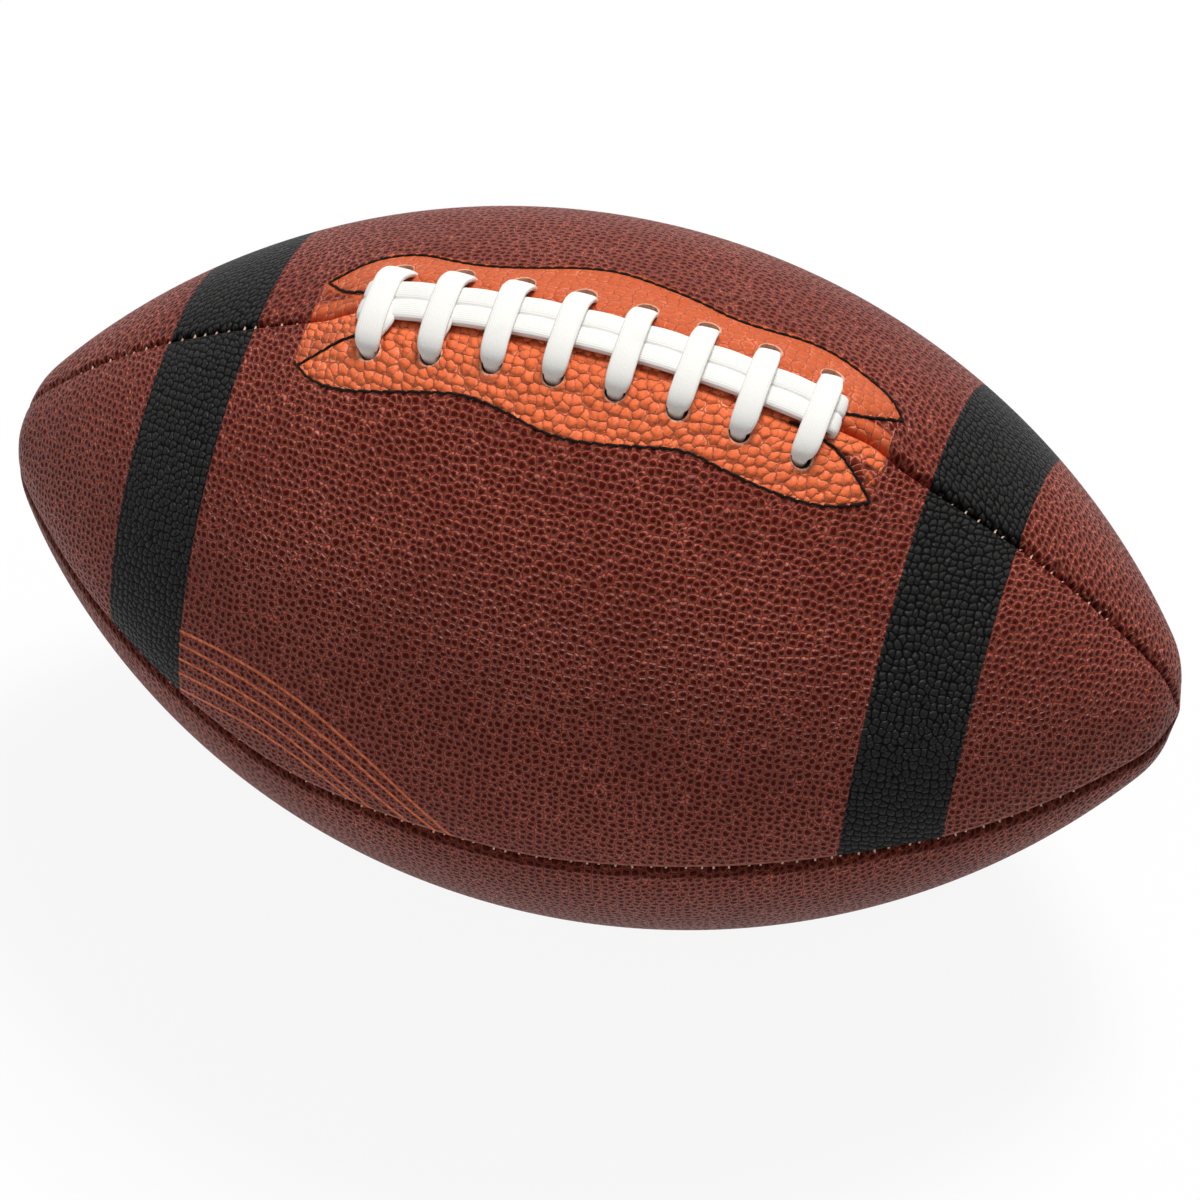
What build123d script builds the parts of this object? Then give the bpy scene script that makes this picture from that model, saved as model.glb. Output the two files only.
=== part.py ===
from build123d import *

import os
from math import asin, atan2, cos, degrees, radians, sin

# American football: four sewn cover panels with linings, a laced slit, a bladder and its valve.
# The origin is the centre of the ball, +X runs along its long axis and +Z is up through the lacing.
# Depths are measured inwards from the outer face of the cover. All sizes are in millimetres.

# Body of the ball
LENGTH = 280.0  # nose to nose
DIAMETER = 162.4  # belly
NOSE_RADIUS = 27.0  # rounding of each nose

# Plies, from the outside in
COVER = 2.2  # pebbled composite cover
LINING = 1.2  # three-ply fabric lining
FACING = 1.2  # reinforcing patches behind the lacing and the valve
BLADDER_WALL = 0.8
GUARD = 1.0  # flap that keeps the lace off the bladder
GUARD_MARGIN = 2.0  # of the flap past the lace facings, all round
GUARD_CORNER = 12.0
PLY_GAP = 0.1  # glue line between plies
BLADDER_GAP = 0.25  # between the bladder and what it presses against

# Sewn seams
SEAM_GAP = 0.6  # between two cover panels at the bottom of the seam
SHOULDER_RADIUS = 2.6  # where a panel rolls over into its seam
SEAM_ALLOWANCE = 7.0  # depth that the turned-in edge of a panel reaches
THREAD_WIDTH = 0.4  # seam thread, across the seam
THREAD_HEIGHT = 0.9
THREAD_DEPTH = 2.2  # top of the seam thread
THREAD_SPAN = 244.0  # sewn length of a seam, along X

# Lacing
CROSS_COUNT = 8
CROSS_PITCH = 14.35
HOLE_OFFSET = 12.0  # from the seam to a lace hole, round the ball
HOLE_RADIUS = 2.5
LACE_THICKNESS = 1.8
CROSS_WIDTH = 6.4  # where the lace lies flat over the slit
PINCHED_WIDTH = 4.2  # where the lace is folded into a hole
PINCHED_THICKNESS = 2.2
RUN_WIDTH = 5.0  # each of the two runs along the slit
RUN_THICKNESS = 2.0
RUN_REACH = 53.6  # from the middle to where a run dives into the slit
RUN_BEND = 3.0
LACE_GAP = 0.3  # between the cover, the runs and the crosses
TIE_GAP = 0.6  # between the lace inside the ball and the turned-in edges
LACE_EDGE = 0.7  # rounding of the lace's long edges
LEG_INSET = 0.2  # how much tighter the lace is drawn inside a hole
MOUTH_BEND = 3.0  # bends of a crossing's centre line, at a hole and over the runs
CREST_BEND = 6.5
SLOT_CLEARANCE = 0.5  # round a run where it dives

# Sewn outline of each lace facing, in plan, from the slit outwards
FACING_END = 68.0  # pointed end, along X
FACING_END_OUT = 13.0
FACING_END_SLOPE = 0.9  # of the inner edge where it meets the pointed end
FACING_END_GROWTH = 1.5  # how much faster the pointed end grows than the sides
FACING_INNER = 3.6  # edge beside the slit
FACING_LOBE = 50.0  # where the end lobe is widest, along X
FACING_LOBE_OUT = 20.6
FACING_WAIST = 27.0
FACING_WAIST_OUT = 19.3
FACING_BELLY_OUT = 24.6  # widest, half way along the lacing
OUTLINE_THREAD = 0.9
OUTLINE_SUNK = 0.45  # how deep the thread lies in the cover
OUTLINE_PROUD = 0.2

# Inflation valve, in the panel opposite the front of the lacing
NEEDLE_RADIUS = 1.05  # bore for a ball-pump needle
CORE_RADIUS = 2.3
CORE_HEAD_RADIUS = 2.9
CORE_HEAD = 1.0
CORE_GAP = 0.05
CORE_SUNK = 0.4  # head below the cover's face
NECK_RADIUS = 3.6
NECK_GAP = 0.2
BARREL_RADIUS = 5.0
BARREL_DEPTH = 16.0
SEAT_FLANGE = 1.2
SEAT_RADIUS = 13.0
PATCH_RADIUS = 16.0

# Worked-out sizes
HALF = LENGTH / 2
BELLY = DIAMETER / 2
NOSE_CENTRE = HALF - NOSE_RADIUS
MERIDIAN_RADIUS = (NOSE_CENTRE**2 + BELLY**2 - NOSE_RADIUS**2) / (2 * (BELLY - NOSE_RADIUS))
MERIDIAN_DROP = MERIDIAN_RADIUS - BELLY  # the meridian's centre lies this far past the axis
NOSE_ANGLE = degrees(atan2(MERIDIAN_DROP, NOSE_CENTRE))
SEAM_HALF = SEAM_GAP / 2
TURNED_EDGE = SEAM_HALF + COVER  # inner face of a turned-in edge, from the seam's middle
LINING_DEPTH = COVER + PLY_GAP
FACING_DEPTH = LINING_DEPTH + LINING + PLY_GAP
BLADDER_DEPTH = LINING_DEPTH + LINING + BLADDER_GAP
SEAT_DEPTH = FACING_DEPTH + FACING + PLY_GAP
LEG_DEPTH = SEAM_ALLOWANCE + TIE_GAP + PINCHED_THICKNESS / 2
TIE_SAG = HOLE_OFFSET**2 / DIAMETER  # a straight tie lies this much deeper in its middle
GUARD_DEPTH = LEG_DEPTH + TIE_SAG + PINCHED_THICKNESS / 2 + LACE_GAP
RUN_LIFT = LACE_GAP + RUN_THICKNESS / 2
CROSS_LIFT = LACE_GAP + RUN_THICKNESS + LACE_GAP + LACE_THICKNESS / 2
RUN_OFFSET = (RUN_WIDTH + LACE_GAP) / 2
CROSS_PLACES = [(i - (CROSS_COUNT - 1) / 2) * CROSS_PITCH for i in range(CROSS_COUNT)]
CROSS_SECTIONS = 14  # sections that shape one crossing
OUTSIDE = 5.0  # how far cutting tools stand proud of the cover
PANEL_TURNS = {"back_top": 0, "front_top": 90, "front_bottom": 180, "back_bottom": 270}
SEAM_TURNS = {"top": 0, "front": 90, "bottom": 180, "back": 270}


# Body shapes

def half_section(depth):
    """Upper half of the ball's long section, on the XZ plane, at a depth below the cover."""
    nose = NOSE_RADIUS - depth
    belly = CenterArc((0, -MERIDIAN_DROP), MERIDIAN_RADIUS - depth, NOSE_ANGLE, 180 - 2 * NOSE_ANGLE)
    right = CenterArc((NOSE_CENTRE, 0), nose, 0, NOSE_ANGLE)
    left = CenterArc((-NOSE_CENTRE, 0), nose, 180 - NOSE_ANGLE, NOSE_ANGLE)
    axis = Line((depth - HALF, 0), (HALF - depth, 0))
    return Plane.XZ * make_face([belly, right, left, axis])


def body(depth):
    """Solid of revolution whose surface lies at a depth below the cover."""
    return revolve(half_section(depth), Axis.X)


def shell(depth, thickness):
    """Ply of the whole ball."""
    return body(depth) - body(depth + thickness)


def quadrant(clear):
    """Everything between the top and back seams, clear of both seam planes."""
    corner = (Align.CENTER, Align.MIN, Align.MIN)
    return Pos(0, clear, clear) * Box(LENGTH + 2 * OUTSIDE, DIAMETER, DIAMETER, align=corner)


def meridian_plane(along):
    """Frame on the cover at the top seam: x across the seam, y along the ball, z out of the cover."""
    lean = asin(along / MERIDIAN_RADIUS)
    up = Vector(sin(lean), 0, cos(lean))
    foot = Vector(0, 0, -MERIDIAN_DROP) + up * MERIDIAN_RADIUS
    return Plane(origin=foot, x_dir=(0, -1, 0), z_dir=up)


# Cover panels and their linings

def shoulder_section():
    """Notch between two rolled panel edges: x across the seam, y out of the cover."""
    out = SEAM_HALF + SHOULDER_RADIUS
    deep = -SHOULDER_RADIUS
    right = RadiusArc((SEAM_HALF, deep), (out, 0), SHOULDER_RADIUS)
    left = RadiusArc((-out, 0), (-SEAM_HALF, deep), SHOULDER_RADIUS)
    rim = Polyline((out, 0), (out, OUTSIDE), (-out, OUTSIDE), (-out, 0))
    return make_face([right, left, rim, Line((-SEAM_HALF, deep), (SEAM_HALF, deep))])


def carried(section, centre, radius, start, turn):
    """Section carried along an arc of the top seam, by its angle from +X: y points out of the cover."""
    out = Vector(cos(radians(start)), 0, sin(radians(start)))
    along = Vector(-out.Z, 0, out.X)
    place = Plane(origin=Vector(*centre) + out * radius, x_dir=(0, -1, 0), z_dir=along)
    return revolve(place * section, Axis(centre, (0, -1, 0)), turn)


def seam_notches():
    """Shoulder notches of the top seam, nose to nose."""
    notch = shoulder_section()
    return [
        carried(notch, (0, 0, -MERIDIAN_DROP), MERIDIAN_RADIUS, NOSE_ANGLE, 180 - 2 * NOSE_ANGLE),
        carried(notch, (NOSE_CENTRE, 0, 0), NOSE_RADIUS, -NOSE_ANGLE, 2 * NOSE_ANGLE),
        carried(notch, (-NOSE_CENTRE, 0, 0), NOSE_RADIUS, 180 - NOSE_ANGLE, 2 * NOSE_ANGLE),
    ]


def turned_edge():
    """Turned-in seam allowance of the panel behind the top seam."""
    crescent = half_section(0) - half_section(SEAM_ALLOWANCE)
    return Pos(0, SEAM_HALF, 0) * extrude(crescent, COVER, dir=(0, 1, 0))


def panel_blank():
    """Cover panel between the top and back seams, before it is punched."""
    edge = turned_edge()
    other_edge = mirror(Rot(X=-90) * edge, about=Plane.XY)
    whole = (shell(0, COVER) + edge + other_edge) & body(0) & quadrant(SEAM_HALF)
    for notch in seam_notches():
        whole -= [notch, Rot(X=270) * notch]
    return whole


def seam_thread(seam):
    """Thread in the bottom of a seam. The lacing interrupts the top seam."""
    ends = degrees(asin(THREAD_SPAN / 2 / MERIDIAN_RADIUS))
    gap = degrees(asin(FACING_END / MERIDIAN_RADIUS))
    spans = [(-ends, -gap), (gap, ends)] if seam == "top" else [(-ends, ends)]
    section = Pos(0, -THREAD_DEPTH - THREAD_HEIGHT / 2) * Rectangle(THREAD_WIDTH, THREAD_HEIGHT)
    hub = (0, 0, -MERIDIAN_DROP)
    lengths = [carried(section, hub, MERIDIAN_RADIUS, 90 + first, last - first) for first, last in spans]
    return Rot(X=SEAM_TURNS[seam]) * Compound(lengths)


# Lace facings, their outline stitching and the lace holes

def facing_outline(grow=0.0):
    """Plan outline of the facing behind the slit: a long wing with two pointed ends."""
    side = [
        (FACING_END + FACING_END_GROWTH * grow, FACING_END_OUT),
        (FACING_LOBE, FACING_LOBE_OUT + grow),
        (FACING_WAIST, FACING_WAIST_OUT + grow),
        (0, FACING_BELLY_OUT + grow),
    ]
    outer = Spline(side + [(-x, y) for x, y in side[-2::-1]])
    beside = (FACING_LOBE, FACING_INNER - grow)
    right = Spline([beside, side[0]], tangents=[(1, 0), (1, FACING_END_SLOPE)])
    left = mirror(right, about=Plane.YZ)
    straight = Line((-beside[0], beside[1]), beside)
    return make_face([outer, left, straight, right])


def lacing_prism(plan):
    """A plan shape behind the slit, carried down through the top of the ball."""
    return extrude(plan, BELLY + OUTSIDE)


def outline_thread():
    """Stitched outline of the back lace facing, sunk in the cover."""
    half = OUTLINE_THREAD / 2
    band = facing_outline(half) - facing_outline(-half)
    return shell(-OUTLINE_PROUD, OUTLINE_PROUD + OUTLINE_SUNK) & lacing_prism(band)


def hole_frame(along, side):
    """Frame on a lace hole's axis: z out of the cover. side is 1 behind the slit and -1 in front."""
    cross = meridian_plane(along)
    ring = cross.origin.Z / cross.z_dir.Z  # radius of the ball's curve in the cross's plane
    lean = side * HOLE_OFFSET / ring
    out = cross.z_dir * cos(lean) + Vector(0, sin(lean), 0)
    return Plane(origin=cross.origin + (out - cross.z_dir) * ring, x_dir=(0, -1, 0), z_dir=out)


def lace_holes(side):
    """Punches for the lace holes on one side of the slit."""
    reach = 2 * (SEAT_DEPTH + OUTSIDE)
    return [hole_frame(x, side) * Cylinder(HOLE_RADIUS, reach) for x in CROSS_PLACES]


def dive_frame(end):
    """Frame where the runs dive into the slit: end is 1 at the right and -1 at the left."""
    return meridian_plane(end * RUN_REACH) * Pos(Y=end * RUN_BEND)


def run_slots():
    """Punches where the lace's runs bend down and dive into the two ends of the slit."""
    wide = 2 * (RUN_OFFSET + RUN_WIDTH / 2 + SLOT_CLEARANCE)
    long = RUN_BEND + RUN_THICKNESS / 2 + SLOT_CLEARANCE
    punch = Box(wide, long, 2 * (SEAM_ALLOWANCE + OUTSIDE))
    return [meridian_plane(end * RUN_REACH) * Pos(Y=end * long / 2) * punch for end in (-1, 1)]


# Lace

def cross_path(along):
    """Centre line of one crossing: from just inside one hole, over the two runs, into the other."""
    cross = meridian_plane(along)
    crest = RUN_OFFSET + RUN_WIDTH / 2
    points = []
    for side in (1, -1):
        hole = hole_frame(along, side)
        half = [hole * Pos(Z=-COVER), hole * Pos(Z=PINCHED_THICKNESS / 2)]
        half.append(cross * Pos(X=-side * crest, Z=CROSS_LIFT))
        points += [place.position for place in half[::side]]
    return FilletPolyline(points, radius=[MOUTH_BEND, CREST_BEND, CREST_BEND, MOUTH_BEND])


def crossing(along):
    """One crossing of the lace, pinched at both holes and flat over the slit."""
    path = cross_path(along)
    cross = meridian_plane(along)
    sections = []
    for i in range(CROSS_SECTIONS + 1):
        place = path @ (i / CROSS_SECTIONS)
        height = (place - cross.origin).dot(cross.z_dir)
        flat = min(max(height / CROSS_LIFT, 0), 1)
        width = PINCHED_WIDTH + (CROSS_WIDTH - PINCHED_WIDTH) * flat
        thick = PINCHED_THICKNESS + (LACE_THICKNESS - PINCHED_THICKNESS) * flat
        frame = Plane(origin=place, x_dir=cross.y_dir, z_dir=path % (i / CROSS_SECTIONS))
        sections.append(frame * RectangleRounded(width, thick, LACE_EDGE))
    return loft(sections)


def leg(along, side):
    """Straight end of a crossing, drawn a little tighter, down through its hole."""
    thick = PINCHED_THICKNESS - 2 * LEG_INSET
    section = RectangleRounded(thick, PINCHED_WIDTH - 2 * LEG_INSET, LACE_EDGE)
    foot = hole_frame(along, side) * Pos(Z=-LEG_DEPTH)
    return extrude(foot * section, LEG_DEPTH - COVER / 2)


def run(side):
    """One of the two runs along the slit, diving into it at both ends."""
    lean = degrees(asin(RUN_REACH / MERIDIAN_RADIUS))
    belly = CenterArc((0, -MERIDIAN_DROP), MERIDIAN_RADIUS + RUN_LIFT, 90 - lean, 2 * lean)
    left_bend = JernArc(belly @ 1, belly % 1, RUN_BEND, 90)
    right_bend = JernArc(belly @ 0, -(belly % 0), RUN_BEND, -90)
    dive = LEG_DEPTH + RUN_LIFT - RUN_BEND
    left_leg = Line(left_bend @ 1, left_bend @ 1 + (left_bend % 1) * dive)
    right_leg = Line(right_bend @ 1, right_bend @ 1 + (right_bend % 1) * dive)
    path = Plane.XZ * Wire([right_leg, right_bend, belly, left_bend, left_leg])
    section = Plane(origin=path @ 0, x_dir=(0, 1, 0), z_dir=path % 0)
    ribbon = sweep(section * RectangleRounded(RUN_WIDTH, RUN_THICKNESS, LACE_EDGE), path)
    return Pos(Y=side * RUN_OFFSET) * ribbon


def hole_foot(along, side):
    """Lower end of the lace's leg in a lace hole."""
    return (hole_frame(along, side) * Pos(Z=-LEG_DEPTH)).position


def run_foot(end, side):
    """Lower end of a run where it has dived into the slit."""
    return (dive_frame(end) * Pos(X=-side * RUN_OFFSET, Z=-LEG_DEPTH)).position


def tie(start, end):
    """Straight stretch of lace on the inside, from one foot to another."""
    heading = end - start
    middle = (start + end) / 2
    level = heading.cross(meridian_plane(middle.X).z_dir).cross(heading)
    frame = Plane(origin=middle, x_dir=heading, z_dir=level)
    return frame * Box(heading.length + PINCHED_WIDTH, PINCHED_WIDTH, PINCHED_THICKNESS)


def lace():
    """The whole lace: from hole to hole across the slit, then twice along it under the crossings."""
    whole = run(1) + tie(run_foot(-1, 1), run_foot(-1, -1)) + run(-1)
    feet = [run_foot(1, -1)] + [hole_foot(x, side) for x in CROSS_PLACES[::-1] for side in (-1, 1)]
    for along, start, end in zip(CROSS_PLACES[::-1], feet[::2], feet[1::2]):
        whole += [tie(start, end), crossing(along), leg(along, 1), leg(along, -1)]
    return whole


# Bladder, its guard and the valve

def guard_plan(grow=0.0):
    """Plan of the flap under the lacing."""
    long = FACING_END + GUARD_MARGIN + grow
    wide = FACING_BELLY_OUT + GUARD_MARGIN + grow
    return RectangleRounded(2 * long, 2 * wide, GUARD_CORNER + grow)


def valve_frame(depth=0.0):
    """Frame on the valve's axis, at a depth below the cover, with z out of the ball."""
    out = Vector(0, 1, -1).normalized()
    return Plane(origin=out * (BELLY - depth), x_dir=(1, 0, 0), z_dir=out)


def valve_rod(radius, top, bottom):
    """Round bar on the valve's axis between two depths."""
    lower = (Align.CENTER, Align.CENTER, Align.MAX)
    return valve_frame(top) * Cylinder(radius, bottom - top, align=lower)


def bladder_form(inset):
    """The bladder pressed against seams, lacing and valve. With an inset, the space inside it."""
    form = body(BLADDER_DEPTH + inset)
    seam_half = TURNED_EDGE + BLADDER_GAP + inset
    slab = Box(LENGTH, 2 * seam_half, DIAMETER)
    seams = slab + Rot(X=90) * slab - body(SEAM_ALLOWANCE + BLADDER_GAP + inset)
    lacing_depth = GUARD_DEPTH + GUARD + BLADDER_GAP + inset
    lacing = lacing_prism(guard_plan(BLADDER_GAP + inset)) - body(lacing_depth)
    valve_depth = SEAT_DEPTH + SEAT_FLANGE + PLY_GAP + inset
    valve = valve_rod(PATCH_RADIUS + BLADDER_GAP + inset, -OUTSIDE, BELLY / 2) - body(valve_depth)
    return form - [seams, lacing, valve]


def bladder():
    """Thin closed bladder, open only where the valve's barrel goes through its wall."""
    barrel = valve_rod(BARREL_RADIUS + PLY_GAP, -OUTSIDE, BARREL_DEPTH)
    return bladder_form(0) - bladder_form(BLADDER_WALL) - barrel


def valve_seat():
    """Rubber seat bonded to the bladder, with a neck that reaches the cover."""
    flange = shell(SEAT_DEPTH, SEAT_FLANGE) & valve_rod(SEAT_RADIUS, -OUTSIDE, BELLY / 2)
    seat = flange + valve_rod(NECK_RADIUS, CORE_SUNK, SEAT_DEPTH + SEAT_FLANGE)
    seat += valve_rod(BARREL_RADIUS, SEAT_DEPTH + SEAT_FLANGE / 2, BARREL_DEPTH)
    seat -= valve_rod(CORE_RADIUS + CORE_GAP, -OUTSIDE, BARREL_DEPTH + OUTSIDE)
    return seat - valve_rod(CORE_HEAD_RADIUS + CORE_GAP, -OUTSIDE, CORE_SUNK + CORE_HEAD)


def valve_core():
    """Plug pushed into the seat, with the bore that a pump's needle goes through."""
    core = valve_rod(CORE_HEAD_RADIUS, CORE_SUNK, CORE_SUNK + CORE_HEAD)
    core += valve_rod(CORE_RADIUS, CORE_SUNK, BARREL_DEPTH)
    return core - valve_rod(NEEDLE_RADIUS, -OUTSIDE, BARREL_DEPTH + OUTSIDE)


# The pieces, each in its own node

sides = {"back_top": 1, "front_top": -1}
threads = {"back_top": outline_thread()}
threads["front_top"] = mirror(threads["back_top"], about=Plane.XZ)
neck_hole = valve_rod(NECK_RADIUS + NECK_GAP, -OUTSIDE, SEAT_DEPTH)
facing_blank = shell(FACING_DEPTH, FACING) & lacing_prism(facing_outline())
blank = panel_blank()
lining_blank = shell(LINING_DEPTH, LINING) & quadrant(TURNED_EDGE + PLY_GAP)

nodes = {}
for place, turn in PANEL_TURNS.items():
    panel = Rot(X=turn) * blank
    lining = Rot(X=turn) * lining_blank
    if place in sides:
        punches = lace_holes(sides[place]) + run_slots()
        threads[place] -= run_slots()
        panel -= punches + [threads[place]]
        lining -= punches
        facing = facing_blank if sides[place] == 1 else mirror(facing_blank, about=Plane.XZ)
        edge = place.split("_")[0]
        nodes[edge + "_lace_facing"] = facing - punches
        nodes[edge + "_facing_stitch"] = threads[place]
    if place == "back_bottom":
        panel -= neck_hole
        lining -= neck_hole
    nodes[place + "_panel"] = panel
    nodes[place + "_lining"] = lining
for seam in SEAM_TURNS:
    nodes[seam + "_seam_thread"] = seam_thread(seam)
nodes["lace"] = lace()
nodes["bladder_guard"] = shell(GUARD_DEPTH, GUARD) & lacing_prism(guard_plan())
nodes["bladder"] = bladder()
patch_rod = valve_rod(PATCH_RADIUS, -OUTSIDE, BELLY / 2)
nodes["valve_facing"] = (shell(FACING_DEPTH, FACING) & patch_rod) - neck_hole
nodes["valve_seat"] = valve_seat()
nodes["valve_core"] = valve_core()

os.makedirs("parts", exist_ok=True)
for name, shape in nodes.items():
    export_step(shape, f"parts/{name}.step")
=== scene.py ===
from math import atan2, cos, pi, radians, sin

import bpy
import numpy as np
from mathutils import Matrix, Vector


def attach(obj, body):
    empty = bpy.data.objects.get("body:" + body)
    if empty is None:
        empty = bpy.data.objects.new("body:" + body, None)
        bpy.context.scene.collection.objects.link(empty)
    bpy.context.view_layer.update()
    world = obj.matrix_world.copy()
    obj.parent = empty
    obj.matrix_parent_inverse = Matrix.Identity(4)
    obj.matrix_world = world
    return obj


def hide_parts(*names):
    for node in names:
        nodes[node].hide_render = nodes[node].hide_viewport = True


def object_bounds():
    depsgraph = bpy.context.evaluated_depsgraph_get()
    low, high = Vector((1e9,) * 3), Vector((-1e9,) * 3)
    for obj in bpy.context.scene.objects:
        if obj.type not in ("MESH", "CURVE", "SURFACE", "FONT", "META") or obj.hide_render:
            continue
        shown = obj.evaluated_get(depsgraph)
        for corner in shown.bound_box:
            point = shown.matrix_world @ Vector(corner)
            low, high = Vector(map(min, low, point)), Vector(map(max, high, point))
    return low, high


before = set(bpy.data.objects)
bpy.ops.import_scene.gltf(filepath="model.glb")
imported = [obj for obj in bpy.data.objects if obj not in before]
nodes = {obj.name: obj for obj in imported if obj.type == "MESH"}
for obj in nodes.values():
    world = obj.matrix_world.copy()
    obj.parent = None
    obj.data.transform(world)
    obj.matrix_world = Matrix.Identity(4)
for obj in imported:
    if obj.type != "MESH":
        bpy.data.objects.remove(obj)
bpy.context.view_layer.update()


# Linings: three plies of woven cotton and polyester, glued together behind each cover panel to stop
# it stretching. Only the weave shows, and only down the lace holes.
MM = 0.001
LINING_THREAD = 0.9 * MM
LINING_RELIEF = 0.2 * MM
LINING_PALE = (0.62, 0.56, 0.46, 1)
LINING_DARK = (0.33, 0.28, 0.21, 1)


class Signal:
    """A value on its way through a material's nodes. Arithmetic on it adds Math nodes."""

    def __init__(self, tree, socket=None):
        self.tree = tree
        self.socket = socket

    def plug(self, node, inputs):
        """Sets or links a node's sockets, each by its name or its place."""
        for key, value in inputs.items():
            if isinstance(value, Signal):
                self.tree.links.new(value.socket, node.inputs[key])
            else:
                node.inputs[key].default_value = value

    def node(self, kind, settings, inputs, output=0):
        """Adds any other node: its settings first, then the values or links of its sockets."""
        made = self.tree.nodes.new(kind)
        for name, value in settings.items():
            if name == "points":
                curve = made.mapping.curves[0]
                for place in value[1:-1]:
                    curve.points.new(*place)
                for point, place in zip(curve.points, value):
                    point.location = place
                made.mapping.update()
            else:
                setattr(made, name, value)
        self.plug(made, inputs)
        return Signal(self.tree, made.outputs[output])

    def math(self, operation, *others):
        """A Math node with this value first."""
        inputs = dict(enumerate((self, *others)))
        return self.node("ShaderNodeMath", {"operation": operation}, inputs)

    def __add__(self, other):
        return self.math("ADD", other)

    def __sub__(self, other):
        return self.math("SUBTRACT", other)

    def __rsub__(self, other):
        return self.node("ShaderNodeMath", {"operation": "SUBTRACT"}, {0: other, 1: self})

    def __mul__(self, other):
        return self.math("MULTIPLY", other)

    def __truediv__(self, other):
        return self.math("DIVIDE", other)

    def __pow__(self, other):
        return self.math("POWER", other)

    def __abs__(self):
        return self.math("ABSOLUTE")

    __radd__ = __add__
    __rmul__ = __mul__

    def step(self, low, high):
        """0 below low, 1 above high, and smooth between them. With low above high it falls."""
        limits = {"Value": self, "From Min": low, "From Max": high}
        return self.node("ShaderNodeMapRange", {"interpolation_type": "SMOOTHSTEP"}, limits)

    def edge(self, softness):
        """1 where this value is positive and 0 where it is negative, with a soft edge between."""
        return self.step(-softness, softness)

    def mix(self, first, second):
        """The first colour where this value is 0, and the second where it is 1."""
        return self.node("ShaderNodeMix", {"data_type": "RGBA"}, {0: self, 6: first, 7: second}, 2)

    def noise(self, size, detail):
        """Cloudy noise round 0.5 over a place, with features about as large as the size."""
        inputs = {"Vector": self, "Scale": 1 / size, "Detail": detail}
        return self.node("ShaderNodeTexNoise", {}, inputs)

    def parts(self):
        """The three coordinates of a place."""
        return [self.node("ShaderNodeSeparateXYZ", {}, {0: self}, axis) for axis in "XYZ"]

    def bump(self, depth):
        """A normal for this height, which is 1 at the depth given."""
        return self.node("ShaderNodeBump", {}, {"Height": self, "Distance": depth})


def new_finish(name, **fixed):
    """A material, its shader with some sockets fixed, and the place on the object."""
    material = bpy.data.materials.new(name)
    material.use_nodes = True
    start = Signal(material.node_tree)
    shader = material.node_tree.nodes["Principled BSDF"]
    start.plug(shader, {key.replace("_", " "): value for key, value in fixed.items()})
    place = start.node("ShaderNodeTexCoord", {}, {}, "Object")
    return material, shader, place


def dress(node, material):
    """Gives a CAD node's own mesh a finish."""
    mesh = nodes[node].data
    mesh.materials.clear()
    mesh.materials.append(material)


lining, shader, place = new_finish("woven_lining", Roughness=0.9)
x, y, z = place.parts()
across = (x * (pi / LINING_THREAD)).math("SINE")
down = ((y + z) * (pi / LINING_THREAD)).math("SINE")
weave = across * down * 0.5 + 0.5
colour = weave.mix(LINING_DARK, LINING_PALE)
place.plug(shader, {"Base Color": colour, "Normal": weave.bump(LINING_RELIEF)})
for panel in ("front_top", "back_top", "front_bottom", "back_bottom"):
    dress(panel + "_lining", lining)


# Facings and guard: patches of bare split leather. Two are sewn behind the lace holes, one is glued
# behind the valve hole, and a loose flap keeps the lace off the bladder.
SPLIT_PALE = (0.44, 0.27, 0.15, 1)
SPLIT_DARK = (0.24, 0.13, 0.07, 1)


def mottled(name, dark, pale, size, detail, depth, **fixed):
    """A finish with two tones in a fine noise, which is its relief too."""
    material, shader, place = new_finish(name, **fixed)
    grain = place.noise(size, detail)
    place.plug(shader, {"Base Color": grain.mix(dark, pale), "Normal": grain.bump(depth)})
    return material


split_leather = mottled("split_leather", SPLIT_DARK, SPLIT_PALE,
                        size=1.2 * MM, detail=5, depth=0.3 * MM, Roughness=0.85)
for patch in ("front_lace_facing", "back_lace_facing", "valve_facing", "bladder_guard"):
    dress(patch, split_leather)


# Bladder and valve: a moulded butyl bladder with its valve seat bonded on, and a softer core with the
# needle hole pushed into the seat from outside, a little below the cover.
RUBBER_BLACK = (0.018, 0.017, 0.017, 1)
RUBBER_DUSTY = (0.045, 0.043, 0.042, 1)
RUBBER_BLOOM = 6 * MM
RUBBER_SKIN = 0.5 * MM
RUBBER_RELIEF = 0.05 * MM

rubber, shader, place = new_finish("moulded_rubber")
bloom = place.noise(RUBBER_BLOOM, 4)
relief = place.noise(RUBBER_SKIN, 2).bump(RUBBER_RELIEF)
colour = bloom.mix(RUBBER_BLACK, RUBBER_DUSTY)
place.plug(shader, {"Base Color": colour, "Roughness": bloom * 0.3 + 0.4, "Normal": relief})
for piece in ("bladder", "valve_seat", "valve_core"):
    dress(piece, rubber)


# Cover panels: four leaves of pebbled composite leather, cut and printed flat, sewn together inside
# out and turned, so that each long edge rolls over a shoulder into its seam. The two top panels are
# punched for the lace and carry the print: stripes, the ground of the lacing and five fine lines.
HALF_LENGTH = 140 * MM
BELLY = 81.2 * MM
NOSE = 27 * MM

drop = ((HALF_LENGTH - NOSE) ** 2 - (BELLY - NOSE) ** 2) / (2 * (BELLY - NOSE))
meridian_radius = BELLY + drop
nose_turn = atan2(HALF_LENGTH - NOSE, drop)
belly_arc = meridian_radius * nose_turn
whole_arc = belly_arc + NOSE * (pi / 2 - nose_turn)


def ease(share):
    """Smooth step of a share that runs from 0 to 1."""
    share = np.clip(share, 0, 1)
    return share * share * (3 - 2 * share)


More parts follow.
